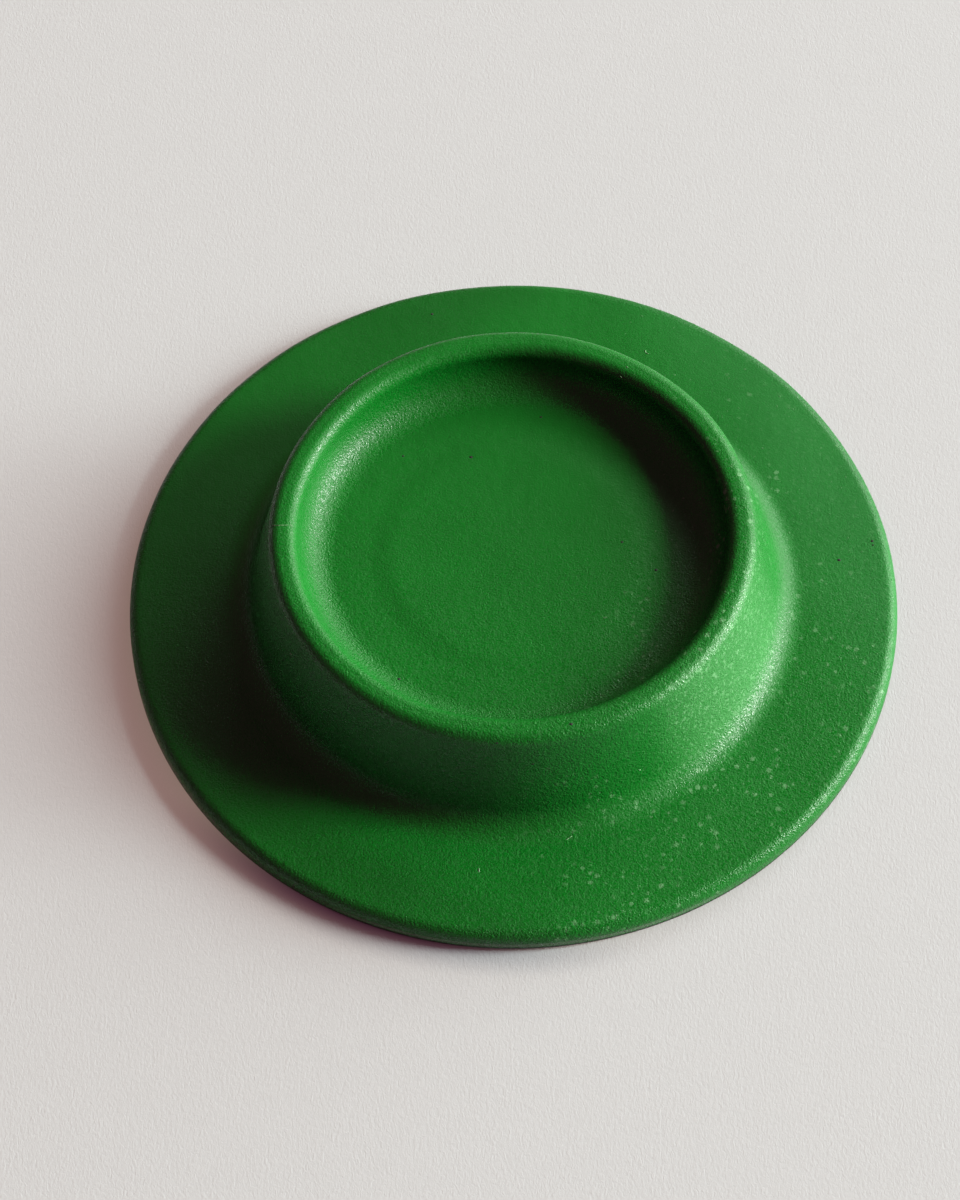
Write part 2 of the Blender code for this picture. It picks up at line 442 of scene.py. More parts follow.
def seen_section():
    """The body's face that is seen from above, as (r, z) points from the axis to the brim's foot.

    Raised seat, cubic blend, floor, fillet, drafted wall, rounded rim, flared wall, fillet, brim and its
    rounded edge.  A fillet touches the wall above it where the wall's line has come down to the fillet's end.
    """
    inner_centre = (RIM_RADIUS - RIM_THICKNESS + RIM_INNER_ROUNDING, RIM_TOP - RIM_INNER_ROUNDING)
    wall_r, wall_z = on_circle(inner_centre, RIM_INNER_ROUNDING, math.pi - DISH_DRAFT)
    fillet_end_z = DISH_FLOOR + DISH_FILLET * (1.0 - math.sin(DISH_DRAFT))
    fillet_end_r = wall_r + (fillet_end_z - wall_z) * math.tan(DISH_DRAFT)
    fillet_r = fillet_end_r - DISH_FILLET * math.cos(DISH_DRAFT)

    outer_centre = (RIM_RADIUS - RIM_OUTER_ROUNDING, RIM_TOP - RIM_OUTER_ROUNDING)
    flare_r, flare_z = on_circle(outer_centre, RIM_OUTER_ROUNDING, RIM_FLARE)
    root_start_z = BRIM_TOP + ROOT_FILLET * (1.0 - math.sin(RIM_FLARE))
    root_start_r = flare_r + (flare_z - root_start_z) * math.tan(RIM_FLARE)
    root_r = root_start_r + ROOT_FILLET * math.cos(RIM_FLARE)

    seat_top = DISH_FLOOR + SEAT_RISE
    blend = straight((SEAT_BLEND[0], 0.0), (SEAT_BLEND[1], 1.0), 12)
    blend[:, 1] = seat_top - SEAT_RISE * soft_step(blend[:, 1])
    edge_centre = (BRIM_RADIUS - BRIM_ROUNDING, BRIM_TOP - BRIM_ROUNDING)
    foot_centre = (BRIM_RADIUS - BRIM_FOOT_ROUNDING, BRIM_BOTTOM + BRIM_FOOT_ROUNDING)
    return np.concatenate([
        straight((0.0, seat_top), (SEAT_BLEND[0], seat_top), 20),
        blend,
        straight((SEAT_BLEND[1], DISH_FLOOR), (fillet_r, DISH_FLOOR), 9),
        arc((fillet_r, DISH_FLOOR + DISH_FILLET), DISH_FILLET, -QUARTER, -DISH_DRAFT, 20),
        straight((fillet_end_r, fillet_end_z), (wall_r, wall_z), 3),
        arc(inner_centre, RIM_INNER_ROUNDING, math.pi - DISH_DRAFT, QUARTER, 13),
        straight((inner_centre[0], RIM_TOP), (outer_centre[0], RIM_TOP), 4),
        arc(outer_centre, RIM_OUTER_ROUNDING, QUARTER, RIM_FLARE, 13),
        straight((flare_r, flare_z), (root_start_r, root_start_z), 16),
        arc((root_r, BRIM_TOP + ROOT_FILLET), ROOT_FILLET, math.pi + RIM_FLARE, 3 * QUARTER, 12),
        straight((root_r, BRIM_TOP), (edge_centre[0], BRIM_TOP), 22),
        arc(edge_centre, BRIM_ROUNDING, QUARTER, 0.0, 9),
        straight((BRIM_RADIUS, edge_centre[1]), (BRIM_RADIUS, foot_centre[1]), 3),
        arc(foot_centre, BRIM_FOOT_ROUNDING, 0.0, -QUARTER, 3),
    ])


def hidden_section():
    """The body's underside, from the brim's foot to the roof of the magnet's socket."""
    foot_r = BRIM_RADIUS - BRIM_FOOT_ROUNDING
    return np.concatenate([
        straight((foot_r, BRIM_BOTTOM), (PAD_SEAT_RADIUS, BRIM_BOTTOM), 2),
        straight((PAD_SEAT_RADIUS, BRIM_BOTTOM), (PAD_SEAT_RADIUS, PAD_SEAT), 1),
        straight((PAD_SEAT_RADIUS, PAD_SEAT), (PLUG_SEAT_RADIUS, PAD_SEAT), 6),
        straight((PLUG_SEAT_RADIUS, PAD_SEAT), (PLUG_SEAT_RADIUS, PLUG_SEAT), 1),
        straight((PLUG_SEAT_RADIUS, PLUG_SEAT), (SOCKET_RADIUS, PLUG_SEAT), 1),
        straight((SOCKET_RADIUS, PLUG_SEAT), (SOCKET_RADIUS, SOCKET_ROOF), 4),
        straight((SOCKET_RADIUS, SOCKET_ROOF), (0.0, SOCKET_ROOF), 5),
        np.array([[0.0, SOCKET_ROOF]]),
    ])


def body_grid():
    """The body's section turned round Z, with two sums of waves added along its normals.

    The unevenness is whole on the seen face.  It fades to nothing down the brim's edge, and on the axis,
    where all columns meet.  The seat leans too: it drops by tilt (1 - r cos(a - high side) / blend) / 2,
    which fades out over its blend.
    Returns the grid and the number of its rings that are on the seen face.
    """
    seen, hidden = seen_section(), hidden_section()
    section = np.concatenate([seen, hidden])
    angles = np.arange(BODY_COLUMNS) * TURN / BODY_COLUMNS
    grid = turned(section, angles)
    normals = turned(section_normals(section), angles)
    rings = np.arange(len(section))[:, None]
    radius = np.hypot(grid[..., 0], grid[..., 1])

    fade_start, fade_end = FADE_RINGS
    share = 1.0 - soft_step((rings - len(seen) + fade_start) / (fade_start - fade_end))
    share = share * soft_step(radius / CALM_RADIUS)
    height = SAG * waves(grid, SAG_LENGTHS, SAG_WAVES, seed=3)
    height += PEEL * waves(grid, PEEL_LENGTHS, PEEL_WAVES, seed=5)
    grid = grid + normals * (height * share)[..., None]

    on_seat = 1.0 - soft_step((radius - SEAT_BLEND[0]) / (SEAT_BLEND[1] - SEAT_BLEND[0]))
    drop = 1.0 - radius * np.cos(angles - SEAT_HIGH_SIDE) / SEAT_BLEND[0]
    grid[..., 2] -= SEAT_TILT * on_seat * (rings < len(seen)) * drop / 2
    return grid, len(seen)


# Small marks on the skin


def low_domes(name, places, normals, headings, lengths, widths, heights, material):
    """Low oval domes in one mesh, each closed by a flat base a little below the skin.

    With u the share of the radius and v the turn round it, a dome is
    place + u (length cos v, width sin v) / 2 along and across + height (1 - u u - sink) up the normal.
    """
    along = headings - np.sum(headings * normals, axis=-1, keepdims=True) * normals
    along /= np.linalg.norm(along, axis=-1, keepdims=True)
    across = np.cross(normals, along)
    u = np.array(DOME_SHARES)[None, :, None, None]
    v = (np.arange(DOME_COLUMNS) * TURN / DOME_COLUMNS)[None, None, :, None]
    place, normal, ahead, aside = (array[:, None, None, :] for array in (places, normals, along, across))
    length, width, height = (array[:, None, None, None] for array in (lengths, widths, heights))
    rings = place + u * (ahead * length * np.cos(v) + aside * width * np.sin(v)) / 2
    rings = rings + normal * height * (1.0 - u * u - DOME_SINK)
    tops = places + normals * (heights * (1.0 - DOME_SINK))[:, None]
    bases = places - normals * (heights * DOME_SINK)[:, None]
    points = np.concatenate([tops[:, None], rings.reshape(len(places), -1, 3), bases[:, None]], axis=1)

    quads, triangles = closed_faces(len(DOME_SHARES), DOME_COLUMNS)
    offsets = (np.arange(len(places)) * points.shape[1])[:, None, None]
    quads = (quads + offsets).reshape(-1, 4)
    triangles = (triangles + offsets).reshape(-1, 3)
    return new_mesh(name, points.reshape(-1, 3), quads, triangles, material)


def face_tree(body):
    """The body as a tree of faces, for finding where a line of sight meets it."""
    return BVHTree.FromObject(body, bpy.context.evaluated_depsgraph_get())


def place_at(tree, pixel):
    """The point of the body, and its normal there, that shows at a pixel of the photograph."""
    place, normal, _, _ = tree.ray_cast(camera_place(), sight_line(pixel))
    return np.array(place), np.array(normal)


def add_dark_specks(tree, material):
    """Specks of dark dust at the places named: low domes, a little longer than they are wide."""
    middles, normals, headings = [], [], []
    for column, row, length in DARK_SPECKS_PX:
        middle, normal = place_at(tree, (column, row))
        left, _ = place_at(tree, (column - length / 2, row))
        right, _ = place_at(tree, (column + length / 2, row))
        middles.append(middle)
        normals.append(normal)
        headings.append(right - left)
    lengths = np.linalg.norm(headings, axis=-1)
    arrays = np.array(middles), np.array(normals), np.array(headings), lengths
    specks = low_domes("dark_specks", *arrays, SPECK_WIDTH * lengths, SPECK_HEIGHT * lengths, material)
    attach(specks, "root")


def add_pale_lines(tree, material):
    """Fine pale scratches and crumbs: a chain of long low domes through each list of points."""
    starts, ends, normals = [], [], []
    for points in PALE_LINES_PX:
        found = [place_at(tree, point) for point in points]
        for (start, normal), (end, _) in zip(found, found[1:]):
            starts.append(start)
            ends.append(end)
            normals.append(normal)
    starts, ends, normals = np.array(starts), np.array(ends), np.array(normals)
    lengths = PALE_LINE_OVERLAP * np.linalg.norm(ends - starts, axis=-1)
    widths = np.full(len(lengths), PALE_LINE_WIDTH)
    heights = np.full(len(lengths), PALE_LINE_HEIGHT)
    middles = (starts + ends) / 2
    lines = low_domes("pale_scratches", middles, normals, ends - starts, lengths, widths, heights, material)
    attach(lines, "root")


def add_pale_flecks(grid, material):
    """Flecks of bloom scattered over the seen face, more of them the farther they lie towards +X.

    A cell of the grid is drawn with a chance in proportion to its area times the soft step of
    (x - start) / spread, and its fleck lies anywhere in it, with the top turned upwards.
    """
    draws = np.random.default_rng(FLECK_SEED)
    along = np.diff(grid, axis=0)
    across = (np.roll(grid, -1, axis=1) - grid)[:-1]
    normals = np.cross(along, across)
    areas = np.linalg.norm(normals, axis=-1)
    chance = areas * soft_step((grid[:-1, :, 0] - FLECK_START) / FLECK_SPREAD)
    cells = draws.choice(chance.size, FLECK_COUNT, p=chance.ravel() / chance.sum())
    corners, along, across, normals = (
        array.reshape(-1, 3)[cells] for array in (grid[:-1], along, across, normals)
    )
    shifts = draws.uniform(0.0, 1.0, (2, FLECK_COUNT, 1))
    places = corners + shifts[0] * along + shifts[1] * across
    normals /= np.linalg.norm(normals, axis=-1, keepdims=True)
    normals *= np.where(normals[:, 2:] < 0.0, -1.0, 1.0)
    headings = draws.normal(size=(FLECK_COUNT, 3))
    shortest, longest = FLECK_LENGTHS
    lengths = shortest + (longest - shortest) * draws.uniform(0.0, 1.0, FLECK_COUNT) ** 2
    widths = lengths * draws.uniform(*FLECK_WIDTHS, FLECK_COUNT)
    heights = draws.uniform(*FLECK_HEIGHTS, FLECK_COUNT)
    flecks = low_domes("pale_flecks", places, normals, headings, lengths, widths, heights, material)
    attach(flecks, "root")


# Shader nodes


def add_node(tree, kind, inputs=None, **settings):
    """A shader node with its settings, and its input sockets set by name or number.

    An input given as a socket is linked, and any other value is written on the node's own socket.
    """
    made = tree.nodes.new(kind)
    for setting, value in settings.items():
        setattr(made, setting, value)
    for socket, value in (inputs or {}).items():
        if isinstance(value, bpy.types.NodeSocket):
            tree.links.new(value, made.inputs[socket])
        else:
            made.inputs[socket].default_value = value
    row, column = divmod(len(tree.nodes), NODES_IN_ROW)
    made.location = (column * NODE_STEP[0], row * NODE_STEP[1])
    return made


def add_math(tree, operation, *values, clamp=False):
    """A math node on two or three values, which are sockets or numbers."""
    inputs = dict(enumerate(values))
    return add_node(tree, "ShaderNodeMath", inputs, operation=operation, use_clamp=clamp).outputs[0]


def product(tree, first, *others):
    """The product of two or more values, which are sockets or numbers."""
    for other in others:
        first = add_math(tree, "MULTIPLY", first, other)
    return first


def around(tree, value, middle, swing):
    """A texture value from 0 to 1 turned into middle - swing / 2 to middle + swing / 2."""
    return add_math(tree, "MULTIPLY_ADD", value, swing, middle - swing / 2)


def ramp(tree, value, band, levels=(0.0, 1.0)):
    """A smooth ramp from the first level, at the start of the band, to the second one at its end."""
    start, end = band
    low, high = levels
    return add_node(
        tree,
        "ShaderNodeMapRange",
        {"Value": value, "From Min": start, "From Max": end, "To Min": low, "To Max": high},
        interpolation_type="SMOOTHSTEP",
    ).outputs["Result"]


def add_mix(tree, share, first, second):
    """The colour of a socket, mixed with a share of a plain colour."""
    inputs = {"Factor": share, "A": first, "B": (*second, 1.0)}
    return add_node(tree, "ShaderNodeMix", inputs, data_type="RGBA").outputs["Result"]


def add_noise(tree, place, **inputs):
    """Noise at a place, in lumps of about one unit unless Scale is given."""
    return add_node(tree, "ShaderNodeTexNoise", {"Vector": place, "Scale": 1.0, **inputs}).outputs["Fac"]


def add_vector_math(tree, operation, first, second):
    """The outputs of a vector math node on two vectors, which are sockets or plain vectors."""
    return add_node(tree, "ShaderNodeVectorMath", {0: first, 1: second}, operation=operation).outputs


def scaled(tree, vector, scale):
    """A vector or a colour times a number."""
    return add_node(tree, "ShaderNodeVectorMath", {0: vector, "Scale": scale}, operation="SCALE").outputs[0]


def object_place(tree):
    """Object coordinates."""
    return add_node(tree, "ShaderNodeTexCoord").outputs["Object"]


def scaled_place(tree, size):
    """Object coordinates divided by a size, so that one unit of a texture is that size."""
    return scaled(tree, object_place(tree), add_math(tree, "DIVIDE", 1.0, size))


def from_axis(tree, place):
    """How far a place lies from the Z axis: the length of (x, y, 0)."""
    flat = add_vector_math(tree, "MULTIPLY", place, (1.0, 1.0, 0.0))[0]
    return add_node(tree, "ShaderNodeVectorMath", {0: flat}, operation="LENGTH").outputs["Value"]


def towards_side(tree, place, azimuth):
    """How far a place lies from the axis towards an azimuth in degrees."""
    turn = math.radians(azimuth)
    return add_vector_math(tree, "DOT_PRODUCT", place, (math.cos(turn), math.sin(turn), 0.0))["Value"]


def on_side(tree, place, side):
    """A share that grows from 0 to the side's own one on the way out along the side's azimuth."""
    azimuth, start, end, share = side
    return ramp(tree, towards_side(tree, place, azimuth), (start, end), (0.0, share))


def add_bump(tree, shader, height, depth, strength=1.0):
    """A height that turns the shader's normals, one unit of it being as high as the depth."""
    bump = add_node(tree, "ShaderNodeBump", {"Height": height, "Distance": depth, "Strength": strength})
    tree.links.new(bump.outputs["Normal"], shader.inputs["Normal"])


# Effects that several materials use


def new_group(name, inputs, outputs):
    """A shader node group with named sockets.

    The inputs are given as (name, socket type, default), and the outputs as (name, socket type).
    """
    group = bpy.data.node_groups.new(name, "ShaderNodeTree")
    for label, kind, default in inputs:
        socket = group.interface.new_socket(label, in_out="INPUT", socket_type=kind)
        if default is not None:
            socket.default_value = default
    for label, kind in outputs:
        group.interface.new_socket(label, in_out="OUTPUT", socket_type=kind)
    return group, group.nodes.new("NodeGroupInput").outputs, group.nodes.new("NodeGroupOutput").inputs


def skin_grain_group():
    """Grain of a moulded or rolled skin: small noise with pits of a worn cell pattern cut into it."""
    group, given, result = new_group(
        "Skin grain",
        [("Size", "NodeSocketFloat", 0.0002), ("Pits", "NodeSocketFloat", 0.5)],
        [("Height", "NodeSocketFloat")],
    )
    place = scaled_place(group, given["Size"])
    noise = add_noise(group, place, Detail=1.0, Roughness=0.6)
    cells = add_node(group, "ShaderNodeTexVoronoi", {"Vector": place, "Scale": 0.8}, feature="F1").outputs
    cut = product(group, cells["Distance"], given["Pits"])
    group.links.new(add_math(group, "SUBTRACT", noise, cut), result["Height"])
    return group


def drift_group():
    """Slow change of a colour over a surface: the colour times 1 + amount (noise - 1/2)."""
    group, given, result = new_group(
        "Colour drift",
        [
            ("Color", "NodeSocketColor", None),
            ("Size", "NodeSocketFloat", 0.01),
            ("Amount", "NodeSocketFloat", 0.1),
        ],
        [("Color", "NodeSocketColor"), ("Drift", "NodeSocketFloat")],
    )
    noise = add_noise(group, scaled_place(group, given["Size"]), Detail=3.0, Roughness=0.55)
    swing = product(group, add_math(group, "SUBTRACT", noise, 0.5), given["Amount"])
    level = add_math(group, "ADD", swing, 1.0)
    group.links.new(scaled(group, given["Color"], level), result["Color"])
    group.links.new(noise, result["Drift"])
    return group


def spots_group():
    """Scattered soft spots: 1 in a spot's middle and 0 between spots.

    Each cell takes a random share of Sparse off its spot, so that some are smaller and some are missing.
    """
    group, given, result = new_group(
        "Scattered spots",
        [
            ("Size", "NodeSocketFloat", 0.001),
            ("Reach", "NodeSocketFloat", 0.3),
            ("Ragged", "NodeSocketFloat", 0.3),
            ("Sparse", "NodeSocketFloat", 0.0),
        ],
        [("Mask", "NodeSocketFloat")],
    )
    place = scaled_place(group, given["Size"])
    cells = add_node(group, "ShaderNodeTexVoronoi", {"Vector": place, "Scale": 1.0}, feature="F1").outputs
    noise = add_noise(group, place, Scale=4.0, Detail=2.0)
    centred = add_math(group, "SUBTRACT", noise, 0.5)
    ragged = add_math(group, "MULTIPLY_ADD", centred, given["Ragged"], cells["Distance"])
    draw = add_node(group, "ShaderNodeSeparateXYZ", {0: cells["Color"]}).outputs["X"]
    away = add_math(group, "ADD", ragged, product(group, draw, given["Sparse"], given["Reach"]))
    mask = add_node(
        group,
        "ShaderNodeMapRange",
        {"Value": away, "From Min": given["Reach"], "From Max": 0.0, "To Min": 0.0, "To Max": 1.0},
    )
    group.links.new(mask.outputs["Result"], result["Mask"])
    return group


def lathe_group():
    """Fine rings round Z, as a turned or ground metal face has."""
    group, given, result = new_group(
        "Lathe rings", [("Pitch", "NodeSocketFloat", 0.0001)], [("Height", "NodeSocketFloat")]
    )
    rings = add_math(group, "DIVIDE", from_axis(group, object_place(group)), given["Pitch"])
    inputs = {"W": rings, "Scale": 1.0, "Detail": 3.0}
    noise = add_node(group, "ShaderNodeTexNoise", inputs, noise_dimensions="1D")
    group.links.new(noise.outputs["Fac"], result["Height"])
    return group


GRAIN = skin_grain_group()
DRIFT = drift_group()
SPOTS = spots_group()
LATHE = lathe_group()


def place_group(tree, group, **inputs):
    """A node group placed in a material with its own values."""
    return add_node(tree, "ShaderNodeGroup", inputs, node_tree=group).outputs


# Materials


def new_material(name, **values):
    """A Principled material, with plain values on the shader's own sockets (underscores for spaces)."""
    material = bpy.data.materials.new(name)
    material.use_nodes = True
    shader = material.node_tree.nodes["Principled BSDF"]
    for label, value in values.items():
        shader.inputs[label.replace("_", " ")].default_value = value
    return material, material.node_tree, shader


def rubber_places(tree):
    """Places on the body that the rubber's functions share, most of them as masks from 0 to 1.

    Steep are the faces outside the dish's floor and above the brim, the brim's edge, and half so the top of
    the rim.
    """
    place = object_place(tree)
    axes = add_node(tree, "ShaderNodeSeparateXYZ", {0: place}).outputs
    radius = from_axis(tree, place)
    above_brim = ramp(tree, axes["Z"], ABOVE_BRIM_BAND)
    below_top = ramp(tree, axes["Z"], BELOW_TOP_BAND, (TOP_STEEPNESS, 1.0))
    walls = product(tree, above_brim, below_top, ramp(tree, radius, BESIDE_FLOOR_BAND))
    edge = ramp(tree, radius, BRIM_EDGE_BAND)
    return SimpleNamespace(
        place=place,
        y=axes["Y"],
        z=axes["Z"],
        radius=radius,
        on_brim=ramp(tree, axes["Z"], BRIM_BAND),
        above_brim=above_brim,
        edge=edge,
        steep=add_math(tree, "MAXIMUM", walls, edge),
    )


def painted_light_and_shade(tree, where, fresh):
    """The rubber's colour with painted light and shade, before any bloom: paler on the brim towards the
    light, painted shade on darker stretches, and a painted reflection low on the brim's edge.
    """
    # Painted light: paler on the brim towards the light
    painted_light_share = product(tree, where.on_brim, on_side(tree, where.place, PAINTED_LIGHT_SIDE))
    painted_color = add_mix(tree, painted_light_share, fresh, PAINTED_LIGHT_GREEN)

    # Painted shade: two sides of the brim, and a stretch of its edge, made darker
    back_left = on_side(tree, where.place, PAINTED_SHADE_BACK_LEFT)
    front_left = on_side(tree, where.place, PAINTED_SHADE_FRONT_LEFT)
    back_right = on_side(tree, where.place, PAINTED_SHADE_BACK_RIGHT)
    painted_shade_share = product(tree, add_math(tree, "ADD", back_left, front_left), where.on_brim)
    painted_shade_share = add_math(tree, "MULTIPLY_ADD", back_right, where.edge, painted_shade_share)
    painted_color = add_mix(tree, painted_shade_share, painted_color, PAINTED_SHADE_GREEN)

    # Painted reflection: a paler grey band along the lower half of the brim's edge at the front
    low = product(tree, ramp(tree, where.z, REFLECTION_HIGH_BAND), ramp(tree, where.z, REFLECTION_LOW_BAND))
    painted_reflection_share = product(tree, low, on_side(tree, where.place, PAINTED_REFLECTION_SIDE), where.edge)
    return add_mix(tree, painted_reflection_share, painted_color, PAINTED_REFLECTION_GREEN)


def bloom_and_sheen_color(tree, where, painted_color, drift):
    """Bloom over a colour, and a painted sheen: fine specks, and brighter spots over them in patches.

    Both grow towards one side, and both are strongest where the outer wall faces the light, where an even
    pale wash under the specks is painted sheen.
    """
    specks = place_group(tree, SPOTS, Size=0.42 * MM, Reach=0.50, Ragged=0.9, Sparse=0.6)["Mask"]
    spots = place_group(tree, SPOTS, Size=0.80 * MM, Reach=0.44, Ragged=0.8, Sparse=1.15)["Mask"]
    side = on_side(tree, where.place, BLOOM_SIDE)
    cosine = add_math(tree, "DIVIDE", towards_side(tree, where.place, LIT_AZIMUTH), where.radius)
    below_lip = ramp(tree, where.z, BELOW_LIP_BAND)
    outer_wall = ramp(tree, where.radius, OUTER_WALL_BAND)
    lit_wall = product(tree, ramp(tree, cosine, LIT_COSINES), where.above_brim, below_lip, outer_wall)

    # On the wall that faces the light, the even share under the specks is painted sheen
    specks_and_sheen = add_math(tree, "MULTIPLY_ADD", specks, *WALL_SPECKS_AND_SHEEN)
    fine = product(tree, specks, FINE_SPECKS, side)
    share = add_math(tree, "MULTIPLY_ADD", specks_and_sheen, lit_wall, fine, clamp=True)
    bloom_and_sheen = add_mix(tree, share, painted_color, BLOOM_AND_SHEEN_GREEN)

    patches = add_math(tree, "MAXIMUM", ramp(tree, drift, PATCH_DRIFTS, PATCH_SHARES), lit_wall)
    strong_spots = add_math(tree, "MULTIPLY", spots, SPOT_STRENGTH, clamp=True)
    return add_mix(tree, product(tree, strong_spots, side, patches), bloom_and_sheen, SPOT_GREEN)


def add_rubber_grain(tree, shader, where):
    """Grain with glossy tops and dull pits.

    It is deeper to the front and on steep faces, and a little shallower in the dish than on the brim.
    """
    fine = place_group(tree, GRAIN, Size=FINE_GRAIN, Pits=0.45)["Height"]
    coarse = place_group(tree, GRAIN, Size=COARSE_GRAIN, Pits=0.5)["Height"]
    out_of_dish = ramp(tree, where.radius, OUT_OF_DISH_BAND, (GRAIN_IN_DISH, 1.0))
    on_flats = product(tree, ramp(tree, where.y, BACK_TO_FRONT, FLAT_DEPTHS), out_of_dish)
    on_steeps = ramp(tree, where.y, BACK_TO_FRONT, STEEP_DEPTHS)
    extra = product(tree, add_math(tree, "SUBTRACT", on_steeps, on_flats), where.steep)
    depth = add_math(tree, "ADD", on_flats, extra)
    swing = ramp(tree, fine, PIT_TO_TOP, ROUGHNESS_SWING)
    swing = product(tree, swing, add_math(tree, "MINIMUM", depth, 1.0))
    tree.links.new(add_math(tree, "ADD", swing, ROUGHNESS), shader.inputs["Roughness"])
    both_grains = add_math(tree, "MULTIPLY_ADD", coarse, COARSE_SHARE, fine)
    add_bump(tree, shader, product(tree, both_grains, depth), GRAIN_DEPTH)


def rubber_material(name):
    """Moulded green rubber with bloom, a grained skin, and painted light, shade, sheen and reflection in its
    colour, with painted shade at the brim's foot.

    It is black to light that it would pass on, so that it doesn't tint the shade and the paper green.
    """
    material, tree, shader = new_material(name, Specular_IOR_Level=0.40)
    drift = place_group(tree, DRIFT, Color=(*FRESH_GREEN, 1.0), Size=7.0 * MM, Amount=0.30)
    where = rubber_places(tree)
    painted_color = painted_light_and_shade(tree, where, drift["Color"])
    bloom_and_sheen = bloom_and_sheen_color(tree, where, painted_color, drift["Drift"])
    # Painted shade: darker at the brim's foot, where it meets the paper
    foot_shaded = add_mix(tree, ramp(tree, where.z, BRIM_FOOT_BAND), bloom_and_sheen, PAINTED_FOOT_SHADE)
    passed_on = add_node(tree, "ShaderNodeLightPath").outputs["Is Diffuse Ray"]
    tree.links.new(add_mix(tree, passed_on, foot_shaded, BLACK), shader.inputs["Base Color"])
    add_rubber_grain(tree, shader, where)
    return material


def grained_material(name, color, roughness, grain_size, depth, pores=0.0):
    """A plain finish with colour drift, fine grain and, on foam, dark open pores."""
    material, tree, shader = new_material(name)
    drift = place_group(tree, DRIFT, Color=(*color, 1.0), Size=9.0 * MM, Amount=0.25)
    grain = place_group(tree, GRAIN, Size=grain_size, Pits=0.4)["Height"]
    spots = place_group(tree, SPOTS, Size=PORE_GRAINS * grain_size, Reach=0.3, Ragged=0.3)["Mask"]
    open_pores = product(tree, spots, pores)
    dark = tuple(channel * PORE_SHADE for channel in color)
    tree.links.new(add_mix(tree, open_pores, drift["Color"], dark), shader.inputs["Base Color"])
    tree.links.new(around(tree, grain, roughness, 0.2), shader.inputs["Roughness"])
    add_bump(tree, shader, add_math(tree, "SUBTRACT", grain, open_pores), depth)
    return material


def plated_material(name, color, roughness, pitch):
    """Plated metal: lathe rings in the surface, and a roughness and colour that drift a little."""
    material, tree, shader = new_material(name, Metallic=1.0)
    drift = place_group(tree, DRIFT, Color=(*color, 1.0), Size=4.0 * MM, Amount=0.2)
    rings = place_group(tree, LATHE, Pitch=pitch)
    tree.links.new(drift["Color"], shader.inputs["Base Color"])
    tree.links.new(around(tree, drift["Drift"], roughness, 0.15), shader.inputs["Roughness"])
    add_bump(tree, shader, rings["Height"], 0.01 * MM, strength=0.6)
    return material


def paper_material(name):
    """White paper with pale fibres that stand up a little, longer along Y than along X.

    It glows a little towards the camera and in mirrors, a painted light that lifts its shade, but hardly
    where the shadow is deepest beside the brim, where the cut in the glow is a painted shadow.  It passes
    less light on than it shows.
    """
    material, tree, shader = new_material(name, Roughness=0.9, Emission_Color=(*GLOW_COLOR, 1.0))
    drift = place_group(tree, DRIFT, Color=(*PAPER_WHITE, 1.0), Size=3.0 * MM, Amount=0.05)
    place = object_place(tree)
    per_fibre = (1 / FIBRE_SIZES[0], 1 / FIBRE_SIZES[1], 1.0)
    fibre_place = add_vector_math(tree, "MULTIPLY", place, per_fibre)[0]
    fibres = add_noise(tree, fibre_place, Detail=4.0, Distortion=0.9)
    paleness = ramp(tree, fibres, FIBRE_NOISES, (0.0, FIBRE_SHARE))
    pale = add_mix(tree, paleness, drift["Color"], FIBRE_WHITE)
    rays = add_node(tree, "ShaderNodeLightPath").outputs
    held_back = product(tree, rays["Is Diffuse Ray"], LIGHT_HELD_BACK)
    tree.links.new(add_mix(tree, held_back, pale, BLACK), shader.inputs["Base Color"])

    seen = add_math(tree, "MAXIMUM", rays["Is Camera Ray"], rays["Is Glossy Ray"])
    seen = add_math(tree, "MAXIMUM", seen, rays["Is Transmission Ray"])
    # Painted shadow: the glow is cut beside the brim on the side where the shadow falls
    beside_brim = ramp(tree, from_axis(tree, place), BESIDE_BRIM_BAND, (PAINTED_SHADOW_DEPTH, 0.0))
    painted_shadow = product(tree, beside_brim, on_side(tree, place, SHADOW_SIDE))
    glow = product(tree, seen, add_math(tree, "SUBTRACT", GLOW, painted_shadow))
    tree.links.new(glow, shader.inputs["Emission Strength"])
    add_bump(tree, shader, fibres, FIBRE_DEPTH)
    return material


# Pieces


def add_body(material):
    """The green moulding, in place of the plain solid.  Returns it with the rings of its seen face."""
    grid, seen = body_grid()
    body = new_turned_piece("moulded_body", grid, material)
    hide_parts("holder_body")
    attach(body, "root")
    return body, grid[:seen]


def disc_section(radius, heights, edge):
    """A disc's section with rounded edges, from the top's centre to the underside's."""
    low, high = heights
    return np.concatenate([
        straight((0.0, high), (radius - edge, high), 6),
        arc((radius - edge, high - edge), edge, QUARTER, 0.0, 5),
        arc((radius - edge, low + edge), edge, 0.0, -QUARTER, 5),
        straight((radius - edge, low), (0.0, low), 6),
        np.array([[0.0, low]]),
    ])


def plug_section():
    """The plug's section: a spigot with a lead-in, on a wider flat rim with its upper edge rounded."""
    low, ledge, high = PLUG_HEIGHTS
    spigot, rim = PLUG_RADII
    return np.concatenate([
        straight((0.0, high), (spigot - PLUG_LEAD_IN, high), 4),
        straight((spigot - PLUG_LEAD_IN, high), (spigot, high - PLUG_LEAD_IN), 2),
        straight((spigot, high - PLUG_LEAD_IN), (spigot, ledge), 2),
        straight((spigot, ledge), (rim - PLUG_EDGE, ledge), 2),
        arc((rim - PLUG_EDGE, ledge - PLUG_EDGE), PLUG_EDGE, QUARTER, 0.0, 3),
        straight((rim, ledge - PLUG_EDGE), (rim, low), 2),
        straight((rim, low), (0.0, low), 6),
        np.array([[0.0, low]]),
    ])


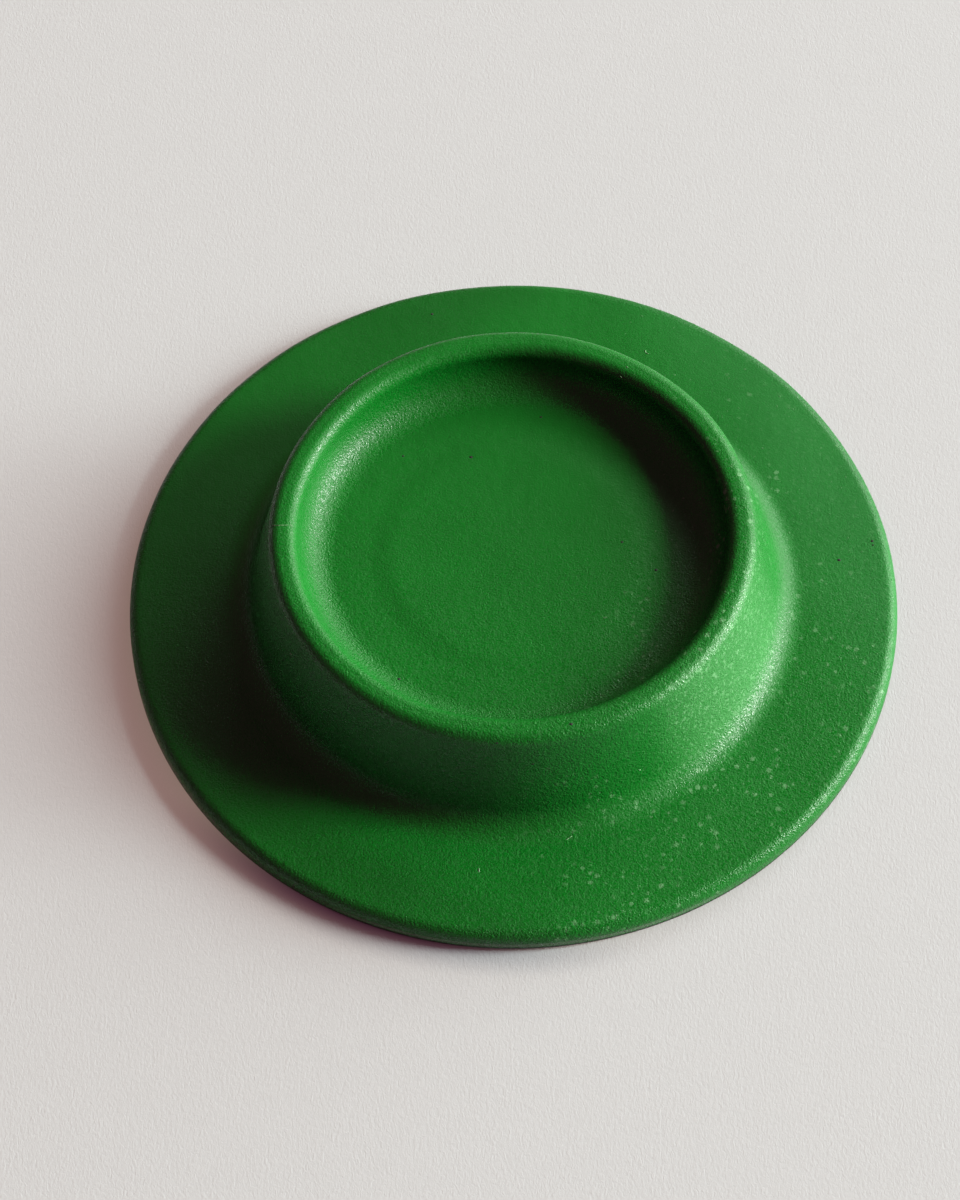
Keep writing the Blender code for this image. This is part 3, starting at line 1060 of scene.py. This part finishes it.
def add_turned_piece(name, section, node, material):
    """A turned piece in place of a plain solid."""
    angles = np.arange(DISC_COLUMNS) * TURN / DISC_COLUMNS
    piece = new_turned_piece(name, turned(section, angles), material)
    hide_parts(node)
    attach(piece, "root")


def add_hidden_pieces():
    """The magnet, the steel plate, the plug and the pad."""
    nickel = plated_material(
        "bright nickel plate", color=(0.66, 0.64, 0.60), roughness=0.22, pitch=0.25 * MM
    )
    zinc = plated_material("zinc plated steel", color=(0.55, 0.56, 0.58), roughness=0.38, pitch=0.12 * MM)
    plastic = grained_material(
        "black moulded plastic",
        color=(0.03, 0.03, 0.03),
        roughness=0.50,
        grain_size=0.35 * MM,
        depth=0.02 * MM,
    )
    foam = grained_material(
        "black foam tape",
        color=(0.05, 0.05, 0.05),
        roughness=0.85,
        grain_size=0.30 * MM,
        depth=0.10 * MM,
        pores=0.8,
    )
    magnet = disc_section(MAGNET_RADIUS, MAGNET_HEIGHTS, MAGNET_EDGE)
    plate = disc_section(MAGNET_RADIUS, KEEPER_HEIGHTS, KEEPER_EDGE)
    pad = disc_section(PAD_RADIUS, PAD_HEIGHTS, PAD_EDGE)
    add_turned_piece("magnet", magnet, "disc_magnet", nickel)
    add_turned_piece("steel_plate", plate, "keeper_disc", zinc)
    add_turned_piece("plug", plug_section(), "socket_plug", plastic)
    add_turned_piece("foam_pad", pad, "adhesive_pad", foam)


# Floor, lamps and world


def add_floor():
    """A large sheet of white paper, just under the pad."""
    corners = np.array([[-1.0, -1.0, 0.0], [1.0, -1.0, 0.0], [1.0, 1.0, 0.0], [-1.0, 1.0, 0.0]]) * PAPER_HALF
    corners[:, 2] = -PAPER_DROP
    no_triangles = np.empty((0, 3), int)
    floor = new_mesh("paper", corners, np.array([[0, 1, 2, 3]]), no_triangles, paper_material("white paper"))


def add_lamp(name, azimuth, elevation, size, power):
    """A flat soft lamp that looks at the origin, from an azimuth and an elevation in degrees."""
    data = bpy.data.lights.new(name, "AREA")
    data.shape = "RECTANGLE"
    data.size, data.size_y = size
    data.energy = power
    data.color = LAMP_WHITE
    lamp = bpy.data.objects.new(name, data)
    turn, rise = math.radians(azimuth), math.radians(elevation)
    towards = Vector((math.cos(rise) * math.cos(turn), math.cos(rise) * math.sin(turn), math.sin(rise)))
    lamp.location = towards * LAMP_DISTANCE
    lamp.rotation_mode = "QUATERNION"
    lamp.rotation_quaternion = (-towards).to_track_quat("-Z", "Y")
    lamp.visible_camera = False
    bpy.context.scene.collection.objects.link(lamp)


def add_light():
    """A tall window to the right, a wide dim one farther round, dim strips above, and a faint rosy room."""
    for lamp in LAMPS:
        add_lamp(*lamp)
    world = bpy.data.worlds.new("world")
    bpy.context.scene.world = world
    world.use_nodes = True
    background = world.node_tree.nodes["Background"]
    background.inputs["Color"].default_value = (*ROOM_ROSE, 1.0)
    background.inputs["Strength"].default_value = ROOM_STRENGTH


def main():
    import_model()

    add_camera()
    add_light()
    add_floor()
    green = rubber_material("green rubber")
    fine_skin = {"grain_size": 0.2 * MM, "depth": 0.01 * MM}
    pale = grained_material("bloom on rubber", color=(0.04, 0.24, 0.05), roughness=0.5, **fine_skin)
    scuffed = grained_material("scuffed rubber", color=(0.17, 0.42, 0.17), roughness=0.5, **fine_skin)
    painted_reflection_share = grained_material("dark dust", color=(0.012, 0.014, 0.010), roughness=0.7, **fine_skin)
    body, seen_grid = add_body(green)
    tree = face_tree(body)
    add_dark_specks(tree, painted_reflection_share)
    add_pale_lines(tree, scuffed)
    add_pale_flecks(seen_grid, pale)
    add_hidden_pieces()
    bpy.context.scene.view_settings.view_transform = "Standard"


main()
